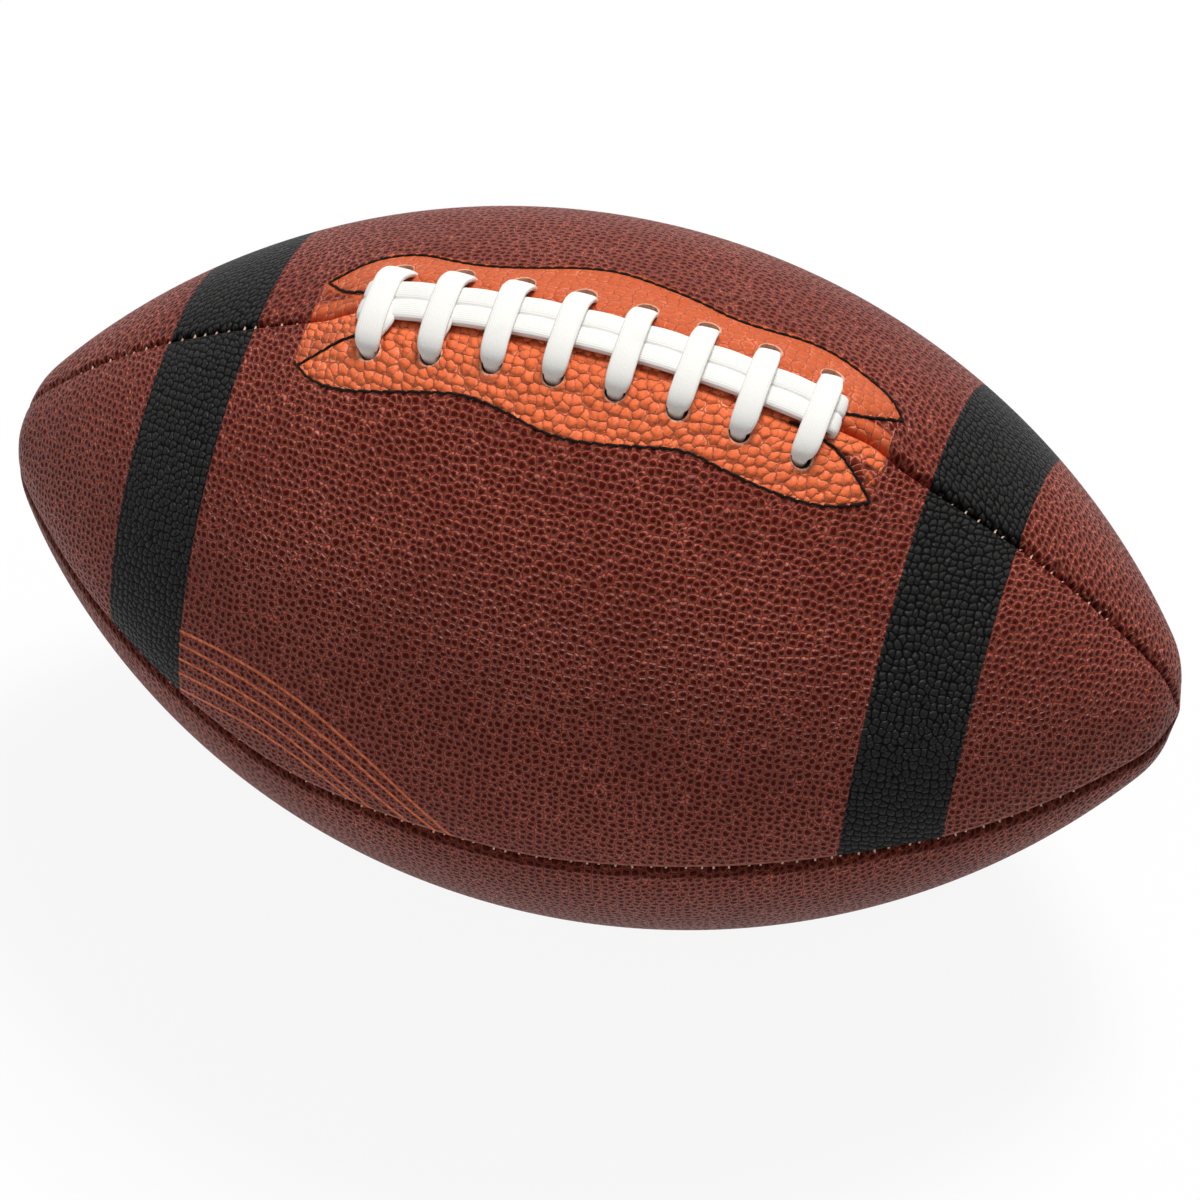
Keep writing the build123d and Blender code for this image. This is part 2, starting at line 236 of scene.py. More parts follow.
def meridian(along):
    """The ball's long section by arc length from the middle: x, radius, and the outward direction."""
    turn = np.minimum(np.abs(along), belly_arc) / meridian_radius
    lean = turn + np.maximum(np.abs(along) - belly_arc, 0) / NOSE
    x = meridian_radius * np.sin(turn) + NOSE * (np.sin(lean) - np.sin(turn))
    r = meridian_radius * np.cos(turn) - drop + NOSE * (np.cos(lean) - np.cos(turn))
    return np.sign(along) * x, r, np.sign(along) * np.sin(lean), np.cos(lean)


def on_ball(along, angle, height):
    """Points at a height above the ball's plain form, by the angle from the top seam to the back."""
    x, r, lean_x, lean_r = meridian(along)
    r = r + height * lean_r
    return np.stack([x + height * lean_x, r * np.sin(angle), r * np.cos(angle)], axis=-1)


def along_of(x):
    """Arc length from the middle to a place x on the long axis, within the belly's arc."""
    return meridian_radius * np.arcsin(np.asarray(x) / meridian_radius)


LACED_MIDDLE = 1.5 * MM
LACED_LEFT = 54 * MM
LACED_RIGHT = 62 * MM
SWELL = 1.8 * MM
SWELL_FADE = 26 * MM
SWELL_ARC = 16 * MM
LIP = 2.6 * MM
LIP_FADE = 13 * MM
LIP_ARC = 8 * MM
RIDGE = 1.3 * MM
RIDGE_ARC = 2.6 * MM
RIDGE_FADE = 3.6 * MM
RIDGE_FROM = 50 * MM
RIDGE_TO = 72 * MM
RIDGE_FRONT = 0.4
RIDGE_BACK = 0.8
RIDGE_LEFT = 0.15


def swell(along, arc):
    """How far the cover stands up round the lacing, where the lace draws the panels together."""
    reach = np.abs(along - LACED_MIDDLE)
    past = reach - np.where(along > 0, LACED_RIGHT, LACED_LEFT)
    broad = ease(1 - past / SWELL_FADE) * ease(1 - (np.abs(arc) - SWELL_ARC) / SWELL_FADE)
    lips = ease(1 - past / LIP_FADE) * ease(1 - (np.abs(arc) - LIP_ARC) / LIP_FADE)
    ends = ease((reach - RIDGE_FROM) / LIP_FADE) * ease(1 - (reach - RIDGE_TO) / SWELL_FADE)
    share = np.interp(arc, (-MM, MM), (RIDGE_FRONT, RIDGE_BACK))
    share = np.where(along > 0, share, RIDGE_LEFT)
    rolls = share * ends * ease(1 - (np.abs(arc) - RIDGE_ARC) / RIDGE_FADE)
    return SWELL * broad + LIP * lips + RIDGE * rolls


def on_cover(along, arc, height):
    """Points at a height above the cover beside the lacing, at an arc from the top seam."""
    along, arc, height = np.broadcast_arrays(along, arc, height)
    radius = meridian(along)[1]
    return on_ball(along, arc / radius, height + swell(along, arc))


FRONT_SEAM = (
    (-140, 0), (-110, -0.8), (-90, -2.0), (-72, -3.4), (-52, -5.2), (-32, -3.4), (-10, -2.7),
    (10, -2.7), (26, -1.3), (52, 0.3), (75, 1.1), (92, 1.1), (108, -0.2), (125, 0), (140, 0),
)
FRONT_OUTLINE = (
    (-46, 6.4), (-54, 8.0), (-61, 10.4), (-65.6, 13.0), (-65.6, 13.0), (-61.5, 17.0), (-54, 19.9),
    (-44, 19.9), (-33, 18.9), (-24, 18.3), (-15, 20.2), (-6, 23.2), (1, 23.9), (10, 22.7),
    (19, 20.4), (27, 18.4), (36, 19.7), (46, 20.3), (56, 19.3), (63, 16.4), (67.6, 12.7),
    (67.6, 12.7), (63, 9.7), (58, 6.0), (54, 4.8), (46, 4.0),
)
BACK_OUTLINE = (
    (-46, 3.4), (-54, 4.6), (-60, 6.6), (-66.2, 11.6), (-66.2, 11.6), (-60, 16.2), (-52, 20.4),
    (-45.5, 21.2), (-38, 18.8), (-30, 18.0), (-20, 20.4), (-10, 24.0), (-1.5, 25.9), (9, 24.2),
    (18, 22.6), (26, 20.3), (33, 20.4), (43, 22.5), (50, 22.2), (58, 19.2), (64, 15.4),
    (68.4, 10.6), (68.4, 10.6), (64, 6.9), (59, 4.2), (54, 3.0), (46, 2.6),
)
OUTLINE_STEP = 0.4 * MM


def smooth_line(corners, rounds=4):
    """Smooth line inside a line of corners given in millimetres, with its two ends kept."""
    line = np.array(corners) * MM
    for _ in range(rounds):
        first = 0.75 * line[:-1] + 0.25 * line[1:]
        second = 0.25 * line[:-1] + 0.75 * line[1:]
        cut = np.stack([first, second], axis=1).reshape(-1, line.shape[1])
        line = np.vstack([line[:1], cut[1:-1], line[-1:]])
    return line


def run_of(line):
    """Length along a line up to each of its points."""
    return np.concatenate([[0], np.cumsum(np.linalg.norm(np.diff(line, axis=0), axis=1))])


def even_line(line, step):
    """The same line with points an even step apart."""
    run = run_of(line)
    places = np.linspace(0, run[-1], max(2, round(run[-1] / step) + 1))
    return np.stack([np.interp(places, run, column) for column in line.T], axis=1)


def sewn_line(corners):
    """The stitched outline of a lace facing, by its places along the ball and round it."""
    line = even_line(smooth_line(corners), OUTLINE_STEP)
    line[:, 0] = along_of(line[:, 0])
    return line


front_seam = smooth_line(FRONT_SEAM)
front_line = sewn_line(FRONT_OUTLINE)
back_line = sewn_line(BACK_OUTLINE)


def seam_shift(along):
    """How far the front seam lies round the ball from its plane. It was drawn in unevenly."""
    return np.interp(along, *front_seam.T)


def sheet_mesh(name, points, faces, grain):
    """A mesh with its grain coordinates, in millimetres along and round the ball."""
    mesh = bpy.data.meshes.new(name)
    mesh.from_pydata(points, [], faces)
    layer = mesh.uv_layers.new(name="grain")
    corners = np.zeros(len(mesh.loops), int)
    mesh.loops.foreach_get("vertex_index", corners)
    layer.data.foreach_set("uv", grain[corners].ravel())
    mesh.polygons.foreach_set("use_smooth", np.ones(len(mesh.polygons), bool))
    return mesh


def place_piece(name, mesh, materials, node):
    """Puts a finished mesh in the scene in place of a CAD node."""
    for material in materials:
        mesh.materials.append(material)
    piece = bpy.data.objects.new(name, mesh)
    bpy.context.scene.collection.objects.link(piece)
    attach(piece, "root")
    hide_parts(node)


PLY = 1.6 * MM
SEAM_HALF = 0.42 * MM
SEAM_CLOSED = 0.06 * MM
SEAM_DIP = 0.5 * MM
SEAM_DIP_REACH = 6 * MM
TURNED_IN = 6.5 * MM
WIDEST_SHOULDER = 3.0 * MM
SHOULDER_REACH = 100 * MM
SHOULDER_STEPS = 8
NARROWEST = 2.6 * (SEAM_HALF + WIDEST_SHOULDER)
GROOVE = 0.35 * MM
GROOVE_WIDTH = 0.8 * MM
GROOVED_LENGTH = 76 * MM
GROOVED_WIDTH = 30 * MM
SHARP_EDGE = radians(50)


def rolled_edge(along, shoulders):
    """Places inwards from a seam, and depths, of an edge rolled over a shoulder and turned in."""
    left, right = shoulders
    shoulder = left + (right - left) * ease(0.5 + 0.5 * along / SHOULDER_REACH)
    roll = np.concatenate([[0, 0], np.linspace(0, pi / 2, SHOULDER_STEPS)])
    turned = np.concatenate([[TURNED_IN, TURNED_IN / 2], np.zeros(SHOULDER_STEPS)])
    depth = np.where(turned > 0, turned, shoulder * (1 - np.sin(roll)))
    foot = np.where(turned > 0, SEAM_CLOSED, SEAM_HALF)
    return foot + shoulder * (1 - np.cos(roll)), depth


def punch(along, angle, holes):
    """Draws the grid's points round each hole onto its rim, and marks the faces inside the holes."""
    gone = np.zeros((along.shape[0] - 1, along.shape[1] - 1), bool)
    for hole_along, hole_arc, hole_radius in holes:
        offset = np.stack([along - hole_along, angle * meridian(along)[1] - hole_arc])
        middle = offset[:, 1:, 1:] + offset[:, 1:, :-1] + offset[:, :-1, 1:] + offset[:, :-1, :-1]
        cut = np.hypot(*middle / 4) < hole_radius
        touched = np.zeros(along.shape, int)
        for i, j in ((0, 0), (0, 1), (1, 0), (1, 1)):
            touched[i:touched.shape[0] - 1 + i, j:touched.shape[1] - 1 + j] += cut
        rim = (touched > 0) & (touched < 4)
        scale = hole_radius / np.hypot(*offset)[rim]
        along[rim] = hole_along + offset[0][rim] * scale
        angle[rim] = (hole_arc + offset[1][rim] * scale) / meridian(along[rim])[1]
        gone |= cut
    return gone


def panel_grid(start, places, rows, holes, edges, bent, groove_line):
    """Points, faces, grain and ply of one panel from the seam at the start angle to the next one."""
    along = places[:, None]
    radius = meridian(along)[1]
    first_shift, last_shift = [share * seam_shift(along) for share in bent]
    width = radius * pi / 2 + last_shift - first_shift
    first_in, first_depth = rolled_edge(along, edges[0])
    last_in, last_depth = rolled_edge(along, edges[1])
    tight = np.minimum(1, width / NARROWEST)
    taken = (first_in[:, -1:] + last_in[:, -1:]) * tight
    inner = first_in[:, -1:] * tight + rows[None, 1:-1] * (width - taken)
    arc = np.hstack([first_in * tight, inner, width - last_in[:, ::-1] * tight])
    depth = np.hstack([first_depth * tight, 0 * inner, last_depth[:, ::-1] * tight])
    dip = np.exp(-(arc / SEAM_DIP_REACH) ** 2) + np.exp(-((width - arc) / SEAM_DIP_REACH) ** 2)
    height = -depth - SEAM_DIP * tight * dip
    along = along + 0 * arc
    angle = start + (first_shift + arc) / radius
    gone = punch(along, angle, holes)

    radius = meridian(along)[1]
    if groove_line is not None:
        lap = angle * radius
        height = height + swell(along, lap)
        near = (np.abs(along) < GROOVED_LENGTH) & (np.abs(lap) < GROOVED_WIDTH)
        spots = np.stack([along[near], np.abs(lap[near])], axis=1)
        away = np.min(np.linalg.norm(spots[:, None] - groove_line[None, ::2], axis=2), axis=1)
        height[near] -= GROOVE * np.exp(-(away / GROOVE_WIDTH) ** 2)
    points = on_ball(along, angle, height).reshape(-1, 3)
    grain = np.stack([along, (angle - start - pi / 4) * radius], axis=-1).reshape(-1, 2) / MM

    index = np.arange(along.size).reshape(along.shape)
    quads = np.stack([index[:-1, :-1], index[1:, :-1], index[1:, 1:], index[:-1, 1:]], axis=-1)
    kept, quads = np.unique(quads[~gone], return_inverse=True)
    ply = np.broadcast_to(tight, along.shape).ravel()[kept]
    return points[kept], quads.reshape(-1, 4), grain[kept], ply


def panel_piece(panel, start, places, rows, holes, finish, edges, bent=(0, 0), groove_line=None):
    """One panel with its thickness, rolled edges and holes."""
    name = panel + "_cover"
    points, quads, grain, ply = panel_grid(start, places, rows, holes, edges, bent, groove_line)
    mesh = sheet_mesh(name, points.tolist(), quads.tolist(), grain)
    blank = bpy.data.objects.new(name + "_blank", mesh)
    bpy.context.scene.collection.objects.link(blank)
    weights = blank.vertex_groups.new(name="ply")
    for share in np.unique(ply):
        weights.add(np.flatnonzero(ply == share).tolist(), float(share), "REPLACE")
    solid = blank.modifiers.new("ply", "SOLIDIFY")
    solid.thickness = PLY
    solid.offset = -1
    solid.vertex_group = "ply"
    solid.material_offset_rim = 1
    for material in (finish, raw_edge):
        mesh.materials.append(material)
    shape = blank.evaluated_get(bpy.context.evaluated_depsgraph_get())
    whole = bpy.data.meshes.new_from_object(shape)
    whole.name = name
    whole.set_sharp_from_angle(angle=SHARP_EDGE)
    bpy.data.objects.remove(blank)
    whole.materials.clear()
    place_piece(name, whole, (finish, raw_edge), panel + "_panel")


PEBBLE = 1.85
LACE_PEBBLE = 2.4
PEBBLE_UNEVEN = 0.66
PEBBLE_WANDER = 0.9
WANDER_SCALE = 0.55


def pebbles(place, pitch):
    """How far each spot lies from the middle of its own pebble, and from that of the next one."""
    flat = place.node("ShaderNodeUVMap", {"uv_map": "grain"}, {})
    wander = {"Vector": flat, "Scale": WANDER_SCALE}
    wander = place.node("ShaderNodeTexNoise", {"noise_dimensions": "2D"}, wander, "Color")
    shift = {0: wander, 1: (0.5, 0.5, 0.5)}
    shift = place.node("ShaderNodeVectorMath", {"operation": "SUBTRACT"}, shift)
    bent = {0: shift, 1: (PEBBLE_WANDER, PEBBLE_WANDER, 0.0), 2: flat}
    bent = place.node("ShaderNodeVectorMath", {"operation": "MULTIPLY_ADD"}, bent)
    cells = {"Vector": bent, "Scale": 1 / pitch, "Randomness": PEBBLE_UNEVEN}
    return [place.node("ShaderNodeTexVoronoi", {"voronoi_dimensions": "2D", "feature": feature}, cells)
            for feature in ("F1", "F2")]


CURVE_X = 70.0
CURVE_ARC = 30.0
CURVE_STOPS = 17


def ground_reach(x, line):
    """How far the ground of the lacing reaches from the slit, by x."""
    tips = np.argmin(line[:, 0]), np.argmax(line[:, 0])
    outer = line[tips[0]:tips[1] + 1]
    places = meridian(outer[:, 0])[0] / MM
    stops = np.linspace(places[0], places[-1], CURVE_STOPS)
    arcs = np.interp(stops, places, outer[:, 1] / MM) / CURVE_ARC
    points = np.stack([0.5 + 0.5 * stops / CURVE_X, arcs], axis=1).tolist()
    share = x * (0.5 / CURVE_X) + 0.5
    return x.node("ShaderNodeFloatCurve", {"points": points}, {"Value": share}) * CURVE_ARC


SEAM_CURVE_X = 140.0
SEAM_CURVE_SHIFT = 12.0
SEAM_CURVE_STOPS = 29


def from_front_seam(place, radius, seam_side):
    """How far a spot lies from the front seam, on the panel below it (1) or above it (-1)."""
    along, lap, _ = place.node("ShaderNodeUVMap", {"uv_map": "grain"}, {}).parts()
    stops = np.linspace(-SEAM_CURVE_X, SEAM_CURVE_X, SEAM_CURVE_STOPS)
    shifts = 0.5 + seam_shift(stops * MM) / MM / SEAM_CURVE_SHIFT
    points = np.stack([0.5 + 0.5 * stops / SEAM_CURVE_X, shifts], axis=1).tolist()
    share = along * (0.5 / SEAM_CURVE_X) + 0.5
    shift = place.node("ShaderNodeFloatCurve", {"points": points}, {"Value": share})
    return radius * (pi / 4) + ((shift - 0.5) * SEAM_CURVE_SHIFT - lap) * seam_side


WORN_PATCH = 5 * MM
WORN_EDGE = (0.26, 0.44)
WORN_RIGHT = 0.95


def worn_gore(place, x, arc, away, ragged, gore):
    """How far the paint is worn off the gore between the lips and the facing, past each end of the
    lace. A gore is given by its start, slope, least reach, painted lip and wear at the left."""
    start, slope, least, lip, worn_left = gore
    bare = ((away - start) * slope + least - arc).edge(0.5) * (arc + ragged - lip).edge(0.6)
    wear = x.edge(1) * (WORN_RIGHT - worn_left) + worn_left
    return bare * place.noise(WORN_PATCH, 4).step(*WORN_EDGE) * wear


CROSS_COUNT = 8
CROSS_PITCH = 14.1 * MM
HOLE_RADIUS = 2.4 * MM
HOLE_HIGHLIGHT_REACH = 0.35
HOLE_HIGHLIGHT_END = 56


def hole_rim_highlights(x, arc, away, ragged, hole):
    """1 on the pale rims of the lace holes, the cut leather lightened as a painted highlight. Their
    places spread with the swell of the cover.
    """
    aside = arc - hole / MM * (1 + (SWELL + LIP) / BELLY)
    pitch = CROSS_PITCH / MM * (1 + (SWELL + LIP) / meridian_radius)
    beside = (x - LACED_MIDDLE / MM).math("WRAP", pitch, 0.0) - pitch / 2
    from_hole = (beside * beside + aside * aside) ** 0.5
    hole_highlight = (HOLE_RADIUS / MM + HOLE_HIGHLIGHT_REACH + ragged * 0.25 - from_hole).edge(0.15)
    return hole_highlight * (HOLE_HIGHLIGHT_END - away).step(0.0, 1.0)


STRIPES = ((-101.3, -80.0, 0.6), (78.9, 100.1, 2.4))


def stripe_bands(x, turned, ragged):
    """1 on each stripe. Both stripes lean to the left towards the front seam."""
    for low, high, lean in STRIPES:
        skewed = x + turned * turned * turned * lean
        band = (skewed + ragged * 0.25 - low).edge(0.15)
        yield band * (high - skewed + ragged * 0.25).edge(0.15)


FINE_LINES = (
    (-70.5, -66, 0.0064), (-74.1, -66, 0.0061), (-77.7, -64, 0.0070), (-81.0, -62.5, 0.0097),
    (-85.2, -59, 0.0105),
)
LINE_HALF = 0.42
LINE_SOFT = 0.1
LINE_FROM = -80.6
LINE_TO = -6
LINE_RADIUS = 76


def fine_line(x, angle, level, crest, bend):
    """1 on a fine line, a parabola that falls on both sides of its crest, in degrees by x."""
    offset = x - crest
    slope = offset * (2 * bend)
    miss = abs(angle - level + offset * offset * bend)
    stretch = (slope * slope + (180 / pi / LINE_RADIUS) ** 2) ** 0.5
    line = (miss / stretch).step(LINE_HALF + LINE_SOFT, LINE_HALF - LINE_SOFT)
    return line * (x - LINE_FROM).edge(0.2) * (LINE_TO - x).edge(0.2)


BROWN_CROWN = (0.082, 0.0050, 0.0018, 1)
BROWN_VALLEY = (0.160, 0.021, 0.010, 1)
# Painted highlight: a light ring round each brown pebble's rim stands in for the gloss on its edges.
BROWN_RIM_HIGHLIGHT = (0.600, 0.160, 0.108, 1)
STRIPE_CROWN = (0.0220, 0.0210, 0.0205, 1)
# Painted shade in the gaps between the stripes' pebbles.
STRIPE_GAP_SHADE = (0.0022, 0.0020, 0.0020, 1)
# One orange paint on both top panels, lightened on the front one and darkened on the back one as
# painted light.
FRONT_ORANGE_LIGHTENED = (0.82, 0.163, 0.056, 1)
BACK_ORANGE_DARKENED = (0.555, 0.103, 0.034, 1)
# Painted highlight on the rims of the orange pebbles.
ORANGE_RIM_HIGHLIGHT = (0.88, 0.290, 0.150, 1)
# Painted shade in the gaps between the orange pebbles.
ORANGE_CREASE_SHADE = (0.46, 0.062, 0.018, 1)
LINE_ORANGE = (0.80, 0.190, 0.070, 1)
# Pale cut leather round the lace holes, lightened as a painted highlight.
HOLE_RIM_HIGHLIGHT = (0.78, 0.46, 0.32, 1)
# Painted shadow along the front seam, on the panel below it, under the upper panel's edge.
SEAM_SHADOW = (0.020, 0.0045, 0.0030, 1)
SEAM_RUBBED = (0.42, 0.150, 0.110, 1)
GROUND_MIDDLE = 0.9
GROUND_END = 67.9
PEBBLE_REACH = 0.80
PEBBLE_HEIGHT = 0.95 * MM
BUBBLE_REACH = 0.64
BUBBLE_SPOT = 0.80
BUBBLE_HEIGHT = 0.98
CREASE_EDGE = (0.20, 0.02)
CREASE_SPOT = 0.42
CREASE_DEPTH = 0.12
CROWN_EDGE = (0.92, 0.50)
RIM_INSIDE = (0.58, 0.86)
RIM_OUTSIDE = (1.14, 0.98)
SHINE_INSIDE = (0.34, 0.56)
SHINE_OUTSIDE = (1.06, 0.92)
SHINE = 0.5
STRIPE_GAP_EDGE = (0.74, 1.05)
STRIPE_MATT = 0.6
ORANGE_GAP_EDGE = (0.90, 1.10)
SEAM_SHADOW_EDGE = (3.6, 2.8)
SEAM_SHADOW_SHARE = 0.5
RUBBED_EDGE = (1.6, 1.2)
RUBBED_SHARE = 0.7
HOLE_HIGHLIGHT_SHARE = 0.7
RIM_LEAST = 0.5
RIM_CLOUDED = 0.4
DOME_POWER = 0.8
GAP_LEAST = 0.3
GAP_RELIEF = 0.35
LINE_SHARE = 0.95
RAGGED_SIZE = 2.6 * MM
RAGGED = 1.6
CLOUD = 30 * MM
CLOUD_EDGE = (0.25, 0.75)
PORE = 0.35 * MM
PORE_DEPTH = 0.10
COVER_ROUGH = 0.40
PORE_ROUGH = 0.14
COVER_SPECULAR = 0.03
FLANK_ROUGH = 0.38
FLANK_SPECULAR = 0.45


def cover_finish(name, seam_side=0, lacing=None, lined=False):
    """Pebbled cover leather, with the print of a top panel and the fine lines of the front one. A
    spot is 0 in the middle of its pebble and 1 at the pebble's rim."""
    material, shader, place = new_finish(name, Specular_IOR_Level=COVER_SPECULAR)
    x, y, z = [part * (1 / MM) for part in place.parts()]
    radius = (y * y + z * z) ** 0.5
    ragged = (place.noise(RAGGED_SIZE, 3) - 0.5) * RAGGED
    pores = place.noise(PORE, 3)
    cloud = place.noise(CLOUD, 3).step(*CLOUD_EDGE)
    own, next_one = pebbles(place, PEBBLE)
    spot = own / next_one / PEBBLE_REACH
    if lacing:
        arc = abs(y).math("ARCTAN2", z) * radius
        away = abs(x - GROUND_MIDDLE)
        reach = ground_reach(x, lacing["line"])
        coarse = (reach - arc).edge(0.01) * (GROUND_END - away).edge(0.01)
        own, next_one = pebbles(place, LACE_PEBBLE)
        bubble = own / BUBBLE_REACH
        crease = (next_one - own).step(*CREASE_EDGE)
        spot = spot + coarse * (bubble * BUBBLE_SPOT + crease * CREASE_SPOT - spot)
    # A lighter ring on each pebble's rim, clouded at random: a painted highlight for the gloss on the
    # pebbles' edges.
    rim = spot.step(*RIM_INSIDE) * spot.step(*RIM_OUTSIDE) * (cloud * RIM_CLOUDED + RIM_LEAST)
    height = (1 - spot * spot).math("MAXIMUM", 0.0) ** DOME_POWER
    shine = spot.step(*SHINE_INSIDE) * spot.step(*SHINE_OUTSIDE) * SHINE
    colour = spot.step(*CROWN_EDGE).mix(BROWN_VALLEY, BROWN_CROWN)
    colour = rim.mix(colour, BROWN_RIM_HIGHLIGHT)

    if seam_side > 0:
        # Painted shadow: the panel below the front seam is darkened in a band along it, and loses its
        # gloss there.
        seam_shadow = (from_front_seam(place, radius, seam_side) + ragged * 0.6).step(*SEAM_SHADOW_EDGE)
        colour = (seam_shadow * SEAM_SHADOW_SHARE).mix(colour, SEAM_SHADOW)
        shine = shine * (1 - seam_shadow)
    elif seam_side < 0:
        rubbed = from_front_seam(place, radius, seam_side).step(*RUBBED_EDGE)
        colour = (rubbed * RUBBED_SHARE).mix(colour, SEAM_RUBBED)
    if lacing:
        relief = lacing["relief"]
        inside = (reach + lacing["margin"] + ragged * 0.5 - arc).edge(0.25)
        inside = inside * (GROUND_END + ragged * 0.6 - away).edge(0.3)
        worn = worn_gore(place, x, arc, away, ragged, lacing["gore"])
        # The orange pebbles take a painted highlight on their rims and painted shade in the gaps
        # between them.
        orange = (rim * relief).mix(lacing["paint"], ORANGE_RIM_HIGHLIGHT)
        gaps = spot.step(*ORANGE_GAP_EDGE) * (GAP_LEAST + GAP_RELIEF * relief)
        colour = (inside * (1 - worn)).mix(colour, gaps.mix(orange, ORANGE_CREASE_SHADE))
        # A pale ring round each lace hole: cut leather with a painted highlight on its rim.
        hole_highlight = hole_rim_highlights(x, arc, away, ragged, lacing["hole"])
        colour = (hole_highlight * HOLE_HIGHLIGHT_SHARE).mix(colour, HOLE_RIM_HIGHLIGHT)
        button = (1 - bubble * bubble).math("MAXIMUM", 0.0) * (BUBBLE_HEIGHT * relief)
        height = height + coarse * (button - crease * CREASE_DEPTH - height)
        # The stripes' black is darker in the gaps between pebbles: painted shade.
        black = spot.step(*STRIPE_GAP_EDGE).mix(STRIPE_CROWN, STRIPE_GAP_SHADE)
        for band in stripe_bands(x, arc / radius * (2 / pi), ragged):
            colour = band.mix(colour, black)
            shine = shine * (1 - band * STRIPE_MATT)
    if lined:
        angle = y.math("ARCTAN2", z) * (180 / pi)
        for level, crest, bend in FINE_LINES:
            line = fine_line(x, angle, level, crest, bend) * (ragged * 0.25 + LINE_SHARE)
            colour = line.mix(colour, LINE_ORANGE)

    grain = (height + pores * PORE_DEPTH).bump(PEBBLE_HEIGHT)
    rough = pores * PORE_ROUGH + COVER_ROUGH
    place.plug(shader, {"Base Color": colour, "Roughness": rough, "Normal": grain})
    flank = {"Base Color": colour, "Roughness": FLANK_ROUGH, "Normal": grain}
    flank["Specular IOR Level"] = FLANK_SPECULAR
    flank = place.node("ShaderNodeBsdfPrincipled", {}, flank)
    leather = Signal(place.tree, shader.outputs[0])
    leather = place.node("ShaderNodeMixShader", {}, {0: shine, 1: leather, 2: flank})
    place.plug(material.node_tree.nodes["Material Output"], {"Surface": leather})
    return material


FRONT_HOLE = 10.9 * MM
BACK_HOLE = 12.4 * MM
# The orange of each top panel is the same paint, lightened on the front and darkened on the back as
# painted light.
FRONT_PRINT = {"line": front_line, "margin": 0.6, "relief": 1.0, "paint": FRONT_ORANGE_LIGHTENED,
               "gore": (54.0, 0.68, 4.2, 5.5, 0.35), "hole": FRONT_HOLE}
BACK_PRINT = {"line": back_line, "margin": 1.3, "relief": 0.5, "paint": BACK_ORANGE_DARKENED,
              "gore": (56.0, 0.60, 2.9, 4.5, 0.85), "hole": BACK_HOLE}
EDGE_DARK = (0.58, 0.38, 0.26, 1)
EDGE_PALE = (0.80, 0.62, 0.48, 1)

raw_edge = mottled("raw_cut_edge", EDGE_DARK, EDGE_PALE,
                   size=0.4 * MM, detail=4, depth=0.2 * MM, Roughness=0.9)
plain_cover = cover_finish("pebbled_cover")
# The bottom front panel carries a painted shadow along the front seam.
shadowed_cover = cover_finish("pebbled_cover_shadowed_at_seam", seam_side=1)
front_cover = cover_finish("printed_cover_with_lines", -1, FRONT_PRINT, lined=True)
back_cover = cover_finish("printed_cover", 0, BACK_PRINT)

VALVE_HOLE = 3.8 * MM
VALVE_ANGLE = radians(135)
NOSE_OPEN = 1.0 * MM
FINE_STEP = 0.6 * MM
LONG_STEP = 1.6 * MM
PLAIN_STEP = 1.7 * MM
LACED_SHARE = 0.225
LACED_ROW = 0.0048
PRINTED_ROW = 0.0125
PLAIN_ROW = 0.0130
PLAIN_EDGE = (1.4 * MM, 1.4 * MM)
CRISP_EDGE = (0.8 * MM, 0.8 * MM)
ROUND_EDGE = (WIDEST_SHOULDER, WIDEST_SHOULDER)
FRONT_LIP = (1.3 * MM, 1.9 * MM)
BACK_LIP = (1.5 * MM, 2.4 * MM)


def spaced(stops, steps):
    """Places from stop to stop, each stretch cut into even steps of about the size given."""
    pieces = []
    for low, high, step in zip(stops, stops[1:], steps):
        count = max(1, round((high - low) / step))
        pieces.append(np.linspace(low, high, count, endpoint=False))
    return np.concatenate(pieces + [[stops[-1]]])


tip = whole_arc - NOSE_OPEN
fine_places = spaced((-tip, -GROOVED_LENGTH, GROOVED_LENGTH, tip), (LONG_STEP, FINE_STEP, LONG_STEP))
plain_places = spaced((-tip, tip), (PLAIN_STEP,))
back_rows = spaced((0, LACED_SHARE, 1), (LACED_ROW, PRINTED_ROW))
front_rows = (1 - back_rows)[::-1]
plain_rows = spaced((0, 1), (PLAIN_ROW,))
cross_places = [LACED_MIDDLE + (i - (CROSS_COUNT - 1) / 2) * CROSS_PITCH for i in range(CROSS_COUNT)]
cross_alongs = [float(along_of(x)) for x in cross_places]
front_holes = [(along, -FRONT_HOLE, HOLE_RADIUS) for along in cross_alongs]
back_holes = [(along, BACK_HOLE, HOLE_RADIUS) for along in cross_alongs]
valve_hole = [(0, VALVE_ANGLE * BELLY, VALVE_HOLE)]

panel_piece("front_top", -pi / 2, fine_places, front_rows, front_holes, front_cover,
            (CRISP_EDGE, FRONT_LIP), (1, 0), front_line)
panel_piece("back_top", 0, fine_places, back_rows, back_holes, back_cover,
            (BACK_LIP, PLAIN_EDGE), (0, 0), back_line)
panel_piece("front_bottom", -pi, plain_places, plain_rows, (), shadowed_cover,
            (PLAIN_EDGE, ROUND_EDGE), (0, 1))
panel_piece("back_bottom", pi / 2, plain_places, plain_rows, valve_hole, plain_cover,
            (PLAIN_EDGE, PLAIN_EDGE))


